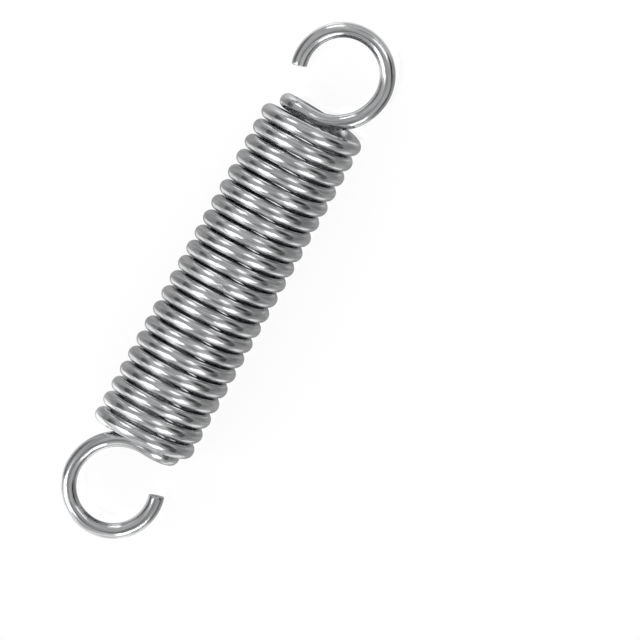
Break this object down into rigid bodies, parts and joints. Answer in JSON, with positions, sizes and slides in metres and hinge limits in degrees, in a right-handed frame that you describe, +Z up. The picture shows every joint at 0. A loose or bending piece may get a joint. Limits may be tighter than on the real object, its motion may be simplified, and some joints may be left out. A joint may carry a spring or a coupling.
{
  "type": "extension spring",
  "caption": "Close-wound wire extension spring with a full loop hook at each end, which pulls two anchored points together.",
  "frame": {"origin": "the middle of the coil, halfway between the two loops, on the line that runs through both of them", "axes": "+X along the spring from the middle towards one loop; +Z up, square to the plane of both loops, as the spring lies on its side"},
  "size_m": [0.0654, 0.0122, 0.012],
  "materials": {
    "wire": "bright drawn spring wire, smooth and clean, with fine lines along the wire"
  },
  "bodies": {
    "root": {"spring": "wire"}
  },
  "joints": []
}
